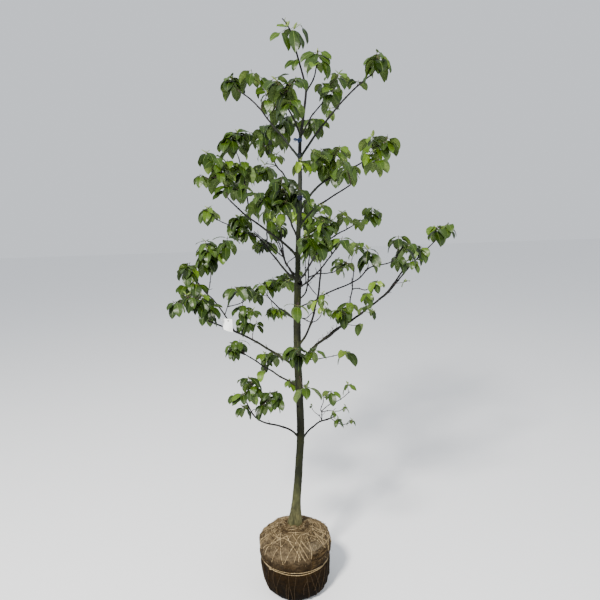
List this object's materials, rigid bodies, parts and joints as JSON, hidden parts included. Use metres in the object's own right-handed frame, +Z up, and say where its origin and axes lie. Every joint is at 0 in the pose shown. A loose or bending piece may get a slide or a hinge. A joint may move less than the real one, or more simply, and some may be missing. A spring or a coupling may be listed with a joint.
{
  "type": "flowering dogwood tree",
  "caption": "Young balled-and-burlapped flowering dogwood tree in leaf: a clear trunk on a burlapped root ball, opposite spreading boughs and open clusters of foliage.",
  "frame": {"origin": "centre of the flat underside of the root ball", "axes": "+Z up along the trunk, -Y towards the viewer of the front, +X to the front viewer's right"},
  "size_m": [1.2682, 0.937, 2.5094],
  "materials": {
    "trunk_bark": "matte bark",
    "bough_bark": "satin young bark",
    "foliage": "satin leaves",
    "burlap_ball": "rough woven burlap"
  },
  "bodies": {
    "root": {"bough_back_inner": "bough_bark", "bough_back_left": "bough_bark", "bough_foot_left": "bough_bark", "bough_foot_right": "bough_bark", "bough_front_low": "bough_bark", "bough_front_right": "bough_bark", "bough_front_upper": "bough_bark", "bough_left_low": "bough_bark", "bough_left_low_side": "bough_bark", "bough_left_mid": "bough_bark", "bough_left_mid_side": "bough_bark", "bough_left_rear": "bough_bark", "bough_lower_left": "bough_bark", "bough_rear_left": "bough_bark", "bough_rear_right": "bough_bark", "bough_right_front": "bough_bark", "bough_right_inner": "bough_bark", "bough_right_inner_side": "bough_bark", "bough_right_low": "bough_bark", "bough_right_low_side": "bough_bark", "bough_right_mid": "bough_bark", "bough_top_fork": "bough_bark", "bough_top_left": "bough_bark", "bough_top_right": "bough_bark", "bough_upper_left": "bough_bark", "bough_upper_right": "bough_bark", "leaves_back_inner": "foliage", "leaves_back_left": "foliage", "leaves_crown_fork": "foliage", "leaves_crown_tip": "foliage", "leaves_foot_left": "foliage", "leaves_foot_right": "foliage", "leaves_front_low": "foliage", "leaves_front_right": "foliage", "leaves_front_upper": "foliage", "leaves_left_far": "foliage", "leaves_left_low_near": "foliage", "leaves_left_low_side": "foliage", "leaves_left_mid": "foliage", "leaves_left_mid_side": "foliage", "leaves_left_rear": "foliage", "leaves_lower_left": "foliage", "leaves_rear_left": "foliage", "leaves_rear_right": "foliage", "leaves_right_far": "foliage", "leaves_right_front": "foliage", "leaves_right_inner": "foliage", "leaves_right_inner_side": "foliage", "leaves_right_low_near": "foliage", "leaves_right_low_side": "foliage", "leaves_right_mid": "foliage", "leaves_right_shoulder": "foliage", "leaves_top_left": "foliage", "leaves_top_left_side": "foliage", "leaves_top_right": "foliage", "leaves_upper_left": "foliage", "leaves_upper_right": "foliage", "root_ball": "burlap_ball", "trunk": "trunk_bark"}
  },
  "joints": []
}
